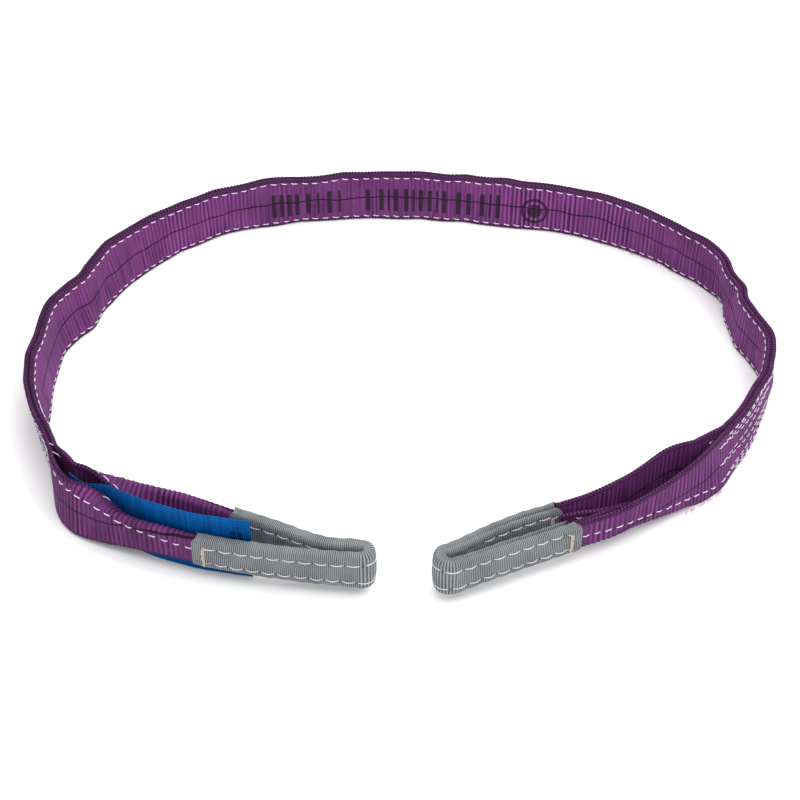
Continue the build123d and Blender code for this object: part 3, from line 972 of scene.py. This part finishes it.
LEFT = Half(
    "left", Run(BACK, 180.0, LEFT_RUN, 1), bend=236, cut=311, throat=372, root=386, leg_cut=426,
    knee=467, tip=546.5, inner_knee=625.5, end=715,
    lean=[(0, -2.2), (42, -2.0), (84, -1.0), (160, -3.5), (200, -5.3), (262, -5.8), (311, -4.6),
          (335, -3.0), (362, 0.5), (386, 1.0), (425, -2.5), (455, -0.5), (500, 0)],
    ribs=[(0, 0.05), (60, 0.07), (120, 0.18), (170, 0.07), (260, 0.06), (372, 0.08), (400, 0.2), (450, 0.2),
          (468, 0.04), (480, 0.03)],
    outer_fold=dict(
        up=True, to=1,
        crease=[(300, 28), (386, 27), (404, 21.5), (420, 17.6), (436, 15.4), (460, 13.4), (480, 12.8)],
        angle=[(300, 0), (374, 0), (390, 20), (405, 76), (420, 130), (438, 164), (456, 175), (480, 176)],
        edge=[(300, 0), (386, 0.1), (402, 1.0), (425, 5.0), (445, 7.4), (460, 8.0), (480, 8.0)]),
    outer_row=[(300, 27.6), (372, 27.5), (390, 25.6), (410, 21), (430, 15.4), (446, 11.4), (456, 10.2),
               (480, 9.6)],
    flap_row=27.6,
    groove=None, tip_extra=1.2, lift=1.2, mouth=-5.5, splice_end=-3, splice_long=46, bridges=(368.5, 362.0),
    foot=[(300, 0), (366, 0), (382, 2.4), (396, 4.4), (410, 3.0), (428, 0.8), (445, 0), (480, 0)],
)
RIGHT = Half(
    "right", Run(BACK, 0.0, RIGHT_RUN, -1), bend=226, cut=300, throat=374, root=384, leg_cut=422,
    knee=461, tip=537.5, inner_knee=614, end=700,
    lean=[(0, -2.2), (50, -2.4), (105, -1.6), (150, -1.2), (196, 0.5), (214, 3.4), (232, -2.4), (262, 0.5),
          (296, -1.0), (322, 1.6), (346, 4.2), (366, 4.0), (384, 1.6), (430, -1.5), (465, 0), (500, 0)],
    ribs=[(0, 0.06), (60, 0.18), (130, 0.22), (170, 0.08), (240, 0.16), (300, 0.06), (374, 0.07), (400, 0.2),
          (452, 0.2), (470, 0.04)],
    outer_fold=dict(
        up=False, to=1, crease=[(300, 28.5), (384, 27.5), (406, 23), (436, 15.2), (480, 13.9)],
        angle=[(300, 0), (372, 0), (388, 14), (410, 70), (436, 140), (458, 166), (480, 172)],
        edge=[(300, 30), (384, 30), (400, 29), (428, 25.6), (450, 23.6), (480, 23.0)]),
    outer_row=[(300, 2.4), (370, 2.5), (381, 5), (393, 8.4), (409, 11.4), (425, 15.7), (443, 19.4),
               (463, 21.4), (480, 21.6)],
    flap_row=3.4,
    groove=[(440, 3.4), (475, 3.0), (500, 1.6), (530, 0.7), (545, 0.7), (575, 1.6), (600, 3.0), (640, 3.4)],
    tip_extra=1.2, lift=0.0, mouth=3.0, splice_end=2, splice_long=66, bridges=(),
    foot=[(300, 0), (360, 0), (376, 2.8), (390, 2.2), (408, 0.6), (425, 0), (480, 0)],
)


def join(piece, hinge, *nodes):
    """Bake a piece's place into its points, in place of some CAD nodes, which are hidden. The hinge is not
    used.
    """
    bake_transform(piece)
    if nodes:
        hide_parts(*nodes)


def build_plies(half):
    """The outer and the inner ply of the body."""
    side, hinge = half.side, half.at_bend
    piece = web(f"{side}_body_outer_ply", half.outer, 0, half.cut, MATERIALS["web"])
    join(piece, hinge, f"crown_{side}_outer_ply", f"{side}_span_outer_ply")
    # The inner ply's printed copy is lighter than the plain web: painted light.
    piece = web(f"{side}_body_inner_ply", half.inner, 0, half.cut, MATERIALS["printed"], COARSE, FINE)
    join(piece, hinge, f"crown_{side}_inner_ply", f"{side}_span_inner_ply")


def build_legs(half):
    """The two folded legs of the eye. The outer one is in two pieces, one for each hinge."""
    # The legs take their side's darker copy of the web paint, which is painted shade.
    side, paint = half.side, MATERIALS[f"{half.side}_legs"]
    piece = web(f"{side}_outer_leg_root", half.leg, half.cut, half.leg_cut, paint, EVEN, EVEN)
    join(piece, half.at_root, f"{side}_outer_root_web")
    end = half.knee + half.mouth + LEG_IN_SLEEVE
    piece = web(f"{side}_outer_leg_knee", half.leg, half.leg_cut, end, paint, EVEN, EVEN)
    join(piece, half.at_knee, f"{side}_outer_tip_web")
    piece = web(f"{side}_inner_leg", half.inner_leg, half.cut, half.inner_at + 7.0, paint, EVEN, EVEN)
    join(piece, half.at_inner_root, f"{side}_inner_root_web", f"{side}_inner_tip_web")


def build_sleeve(half):
    """The sleeve, from mouth to mouth."""
    side = half.side
    mouths = (half.knee + half.mouth, half.inner_knee - INNER_MOUTH)
    sleeve = Sleeve(half, mouths, SLEEVE_SEEDS[side])
    piece = sleeve_mesh(f"{side}_sleeve", sleeve)
    join(piece, half.at_tip, f"{side}_outer_tip_sleeve", f"{side}_inner_tip_sleeve")
    return sleeve


def edge_rows(half, start, end, seed):
    """Both edge rows of both plies, each on the face that shows."""
    paths = []
    for face, strip in ((-1, half.outer), (1, half.inner)):
        for k in (0, 1):
            paths += dashes(strip, k, start, end, face, seed + 10 * k + face)
    return paths


def sew_body(half):
    """The edge rows, the splice's zigzag and the stitches over its top."""
    side, span = half.side, f"{half.side}_span"
    piece = sew(f"{side}_body_rows", edge_rows(half, 0.0, half.cut, 100))
    join(piece, half.at_bend, "crown_edge_seams", f"{side}_edge_seams")
    end = half.throat + half.splice_end
    start = end - half.splice_long
    zigzag = [((start, end)[k % 2], across) for k, across in enumerate(ZIGZAG)]
    paths = sewn_line(half.leg, zigzag, -1, 299) + sewn_line(half.inner, zigzag, 1, 301)
    for along in half.bridges:
        paths += bridge(half.outer, along)
    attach(sew(f"{side}_splice_rows", paths, SPLICE_THREAD_R), span)
    piece = sew(f"{side}_free_end_rows", edge_rows(half, half.cut, half.throat - 2, 200))
    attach(piece, span)
    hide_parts(f"{side}_splice_seams")


def leg_rows(strip, starts, end, face, seed):
    """The two rows of a folded leg: through the web, and through its flap."""
    paths = []
    for k, start in enumerate(starts):
        paths += dashes(strip, k, start, end, face, seed + 3 * k)
    return paths


def sew_legs(half):
    """Rows along the folded legs, in the same pieces as the legs."""
    side, throat = half.side, half.throat + 1
    paths = leg_rows(half.leg, (throat, half.root + 20), half.leg_cut, -1, 401)
    join(sew(f"{side}_outer_root_row", paths), half.at_root, f"{side}_outer_root_seam")
    paths = leg_rows(half.leg, (half.leg_cut, half.leg_cut), half.knee + 3, -1, 402)
    join(sew(f"{side}_outer_knee_row", paths), half.at_knee)
    paths = leg_rows(half.inner_leg, (throat, throat), half.inner_at + 1, 1, 403)
    join(sew(f"{side}_inner_leg_row", paths), half.at_inner_root, f"{side}_inner_root_seam")


def sew_sleeve(half, sleeve):
    """The long stitches of the sleeve, which stop inside the tip, and a bartack at each mouth."""
    side = half.side
    start, stop = sleeve.mouths[0] + 4, sleeve.mouths[1] - 4
    rows = []
    for level, shift in SLEEVE_ROWS:
        rows += sleeve_row(sleeve, level, shift, -1, start, stop, 500)
        rows += sleeve_row(sleeve, level, shift, 1, start + 6, half.tip - 20, 501)
        rows += sleeve_row(sleeve, level, shift, 1, half.tip + 20, stop, 502)
    piece = sew(f"{side}_sleeve_rows", rows, SLEEVE_THREAD_R)
    join(piece, half.at_tip, f"{side}_outer_tip_sleeve_seams", f"{side}_inner_tip_sleeve_seams")
    for name, at, face in (("outer", start + 1.5, -1), ("inner", stop - 1.5, 1)):
        paths = tack(sleeve, at, face, 600)
        piece = thread_object(f"{side}_{name}_bartack", paths, TACK_THREAD_R, MATERIALS["tack"])
        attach(piece, f"{side}_{name}_tip")


def build_half(half):
    """All the web, the sleeve and the sewing of one half."""
    build_plies(half)
    build_legs(half)
    sleeve = build_sleeve(half)
    sew_body(half)
    sew_legs(half)
    sew_sleeve(half, sleeve)


# Places along the label, and how far it stands aside of the leg, flares at its foot and dips
LABEL_ASIDE = [(0, 1.2), (8, 3.0), (18, 5.0), (30, 4.4), (46, 3.6), (70, 3.7), (84, 4.7), (110, 4.8)]
LABEL_FLARE = [(0, 0), (24, 0), (46, 1.4), (110, 1.6)]
LABEL_DIP = [(0, 3.0), (6, 6.4), (11, 6.2), (20, 3.4), (34, 0.6), (44, 0), (110, 0)]


def label_strand():
    """The line of the label, beside the left outer leg."""
    ahead = np.arange(0, 104, 1.0)
    along = LEFT.root + 3 + ahead
    return Strand(LEFT.run.line(along, table(LABEL_ASIDE, ahead)), 0.0, 1)


def label_leaf(name, run, inward, long, top, seed):
    """One leaf of label cloth. Its top edge dips near the throat, where the leg pushes it down."""
    along = np.linspace(0, long, 170)[:, None]
    up = np.linspace(0, 1, 26)[None, :]
    crest = 0.35 * wander(along, 13, seed) + 0.2 * wander(along, 5, seed + 4)
    tall = top - 0.7 + crest - table(LABEL_DIP, along)
    height = 0.1 + (tall - 0.1) * up
    side = inward + 0.45 * wander(along, 21, seed + 2) * up + 0.12 * wander(along + 9 * up, 9, seed + 3)
    side = side - table(LABEL_FLARE, along) * (1 - up) ** 6
    thin = 0.2 * np.ones_like(side)
    thin[:, [0, -1]] = 0.08
    along = np.broadcast_to(along, side.shape)
    outer, inner = (place(run, along, side + face * thin, height) for face in (-1, 1))
    rings = np.concatenate([outer, inner[:, ::-1]], 1)
    v = np.concatenate([up[0] * top, up[0][::-1] * top, [0]])
    piece = tube_mesh(f"label_{name}_leaf", rings, along[:, 0], v, MATERIALS["label"])
    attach(piece, "label")
    return piece


def fray(name, strip, span, face, seed):
    """Stray fibres along a lower edge, over (start, end, how many)."""
    rng = np.random.default_rng(seed)
    paths = []
    start, end, count = span
    part = np.linspace(0, 1, 6)
    for _ in range(count):
        reach, swing = rng.uniform(0.4, 2.4), rng.uniform(-2.5, 2.5)
        along = rng.uniform(start, end) + swing * part
        inward, up = strip.at(along, np.full(6, 0.6), face)
        inward = inward + face * reach * part
        up = 0.25 + (up - 0.25) * (1 - part) ** 2 + rng.uniform(0, 1.2) * part * (1 - part)
        paths.append(place(strip.run, along, inward, up))
    return thread_object(name, paths, FIBRE_R, MATERIALS["fibre"], sides=4)


def build_frays():
    """Frayed yarns along the right half's lower edges, inside the body and outside the leg."""
    piece = fray("right_frayed_body", RIGHT.inner, (96, 192, 80), 1, 71)
    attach(piece, "crown")
    leg = Strip(RIGHT.run, -PLY, OUTER_SEED, RIGHT.ribs, RIGHT.lean, foot=RIGHT.foot)
    piece = fray("right_frayed_leg", leg, (376, 402, 45), -1, 72)
    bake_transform(piece)


def build_label():
    """Two leaves of label cloth that stand along the inside of the left outer leg."""
    run = label_strand()
    for k, (name, face) in enumerate((("front", -1), ("back", 1))):
        piece = label_leaf(name, run, 0.3 * face, LABEL_LONG - 4 * k, LABEL_TOP - 2 * k, k + 1)
        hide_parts(f"label_{name}")
    paths = []
    for foot in 2.5 + 5.3 * np.arange(5):
        paths.append(place(run, np.full(7, 2.2), -0.45 - 0.35 * ARCH, np.linspace(foot, foot + 3.8, 7)))
    piece = sew("label_root_row", paths)
    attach(piece, "label")
    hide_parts("label_seam")


def build_floor():
    """A pale floor."""
    bpy.ops.mesh.primitive_plane_add(size=1)
    floor = bpy.context.object
    floor.name = "floor"
    floor.scale = (8, 8, 1)
    floor.location = (0, 0, -0.0002)
    material, _, shader = new_material("pale_floor")
    put_values(shader, {"Base Color": (0.98, 0.98, 0.98, 1), "Roughness": 0.9, "Specular IOR Level": 0.0})
    floor.data.materials.append(material)


def build_lights():
    """Soft light from all round, and four lamps that look at the middle."""
    world = bpy.data.worlds.new("studio")
    bpy.context.scene.world = world
    world.use_nodes = True
    put_values(world.node_tree.nodes["Background"], {"Color": (1, 1, 1, 1), "Strength": 0.88})
    for name, lamp_at, size, power in (
        ("key", (0.36, -0.1, 1.1), 1.5, 12.8),
        ("fill", (-0.7, -0.7, 1.0), 1.0, 0.6),
        ("front", (0.6, -0.9, 1.0), 1.0, 2.0),
        ("rear", (0.1, 1.1, 0.9), 0.8, 3.0),
    ):
        light = bpy.data.lights.new(name, "AREA")
        light.size, light.energy = size, power
        lamp = linked(name, light)
        lamp.location = lamp_at
        lamp.rotation_euler = (-Vector(lamp_at)).to_track_quat("-Z", "Y").to_euler()


def build_camera():
    """The camera in front of the eyes, about 40 degrees above the floor."""
    camera = bpy.data.cameras.new("camera")
    camera.lens, camera.sensor_width = 81, 36
    eye = linked("camera", camera)
    target = Vector((-0.0032, -0.01325, 0))
    eye.location = target + Vector((0, -0.7323, 0.6145))
    eye.rotation_euler = (target - eye.location).to_track_quat("-Z", "Y").to_euler()
    bpy.context.scene.camera = eye
    bpy.context.scene.view_settings.view_transform = "Standard"


build_half(LEFT)
build_half(RIGHT)
build_frays()
build_label()
build_floor()
build_lights()
build_camera()
